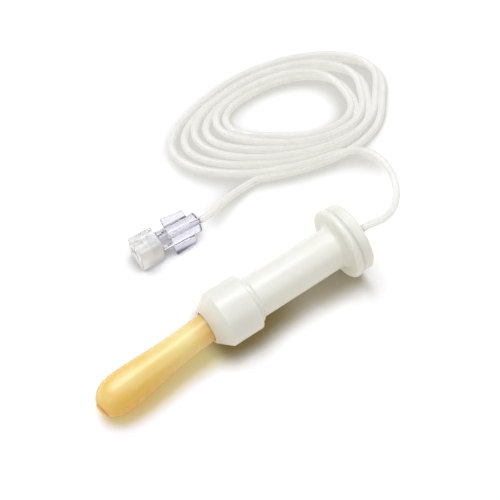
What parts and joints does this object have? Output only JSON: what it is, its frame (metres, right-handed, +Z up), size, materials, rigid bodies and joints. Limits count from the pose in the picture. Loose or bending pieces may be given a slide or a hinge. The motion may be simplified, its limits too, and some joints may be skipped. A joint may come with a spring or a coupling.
{
  "type": "rubber-tipped air probe",
  "caption": "Hand-held probe with a soft amber rubber tip, screw collar and flanged handle, and a coiled clear tube ending in a winged luer hub with a lock nut.",
  "frame": {"origin": "on the table under the middle of the probe's own length and width", "axes": "+X along the probe towards its rubber tip, +Z up from the table"},
  "size_m": [0.1631, 0.101, 0.0256],
  "materials": {
    "amber_rubber": "satin, slightly see-through latex",
    "white_plastic": "satin natural moulding",
    "nipple_plastic": "satin",
    "clear_tube": "soft clear vinyl",
    "hub_plastic": "clear moulding, faint lavender",
    "plug_plastic": "translucent moulding",
    "nut_plastic": "translucent moulding"
  },
  "bodies": {
    "handle": {"handle_barrel": "white_plastic", "rear_cap": "white_plastic", "tube_nipple": "nipple_plastic", "tube_lead": "clear_tube", "tube_coil": "clear_tube", "tube_tail": "clear_tube", "luer_hub": "hub_plastic"},
    "tip": {"rubber_tip": "amber_rubber"},
    "screw_collar": {"collar": "white_plastic"},
    "plug": {"male_plug": "plug_plastic"},
    "nut": {"lock_nut": "nut_plastic"}
  },
  "joints": [
    {"name": "tip_draw", "type": "slide", "parent": "handle", "child": "tip", "axis": [0.9983, 0, -0.058], "range_m": [0, 0.008]},
    {"name": "collar_turn", "type": "hinge", "parent": "tip", "child": "screw_collar", "pos_m": [0.00006, 0, 0.01031], "axis": [0.9983, 0, -0.058], "range_deg": [0, 1440]},
    {"name": "plug_draw", "type": "slide", "parent": "handle", "child": "plug", "axis": [0.9998, -0.0175, 0], "range_m": [0, 0.005]},
    {"name": "nut_turn", "type": "hinge", "parent": "plug", "child": "nut", "pos_m": [0.00883, -0.03925, 0.00505], "axis": [0.9998, -0.0175, 0], "range_deg": [0, 360]}
  ],
  "couplings": [
    {"joint": "tip_draw", "follows": "collar_turn", "m_per_rad": 0.0003183},
    {"joint": "nut_turn", "follows": "plug_draw", "rad_per_m": 1256.6}
  ]
}
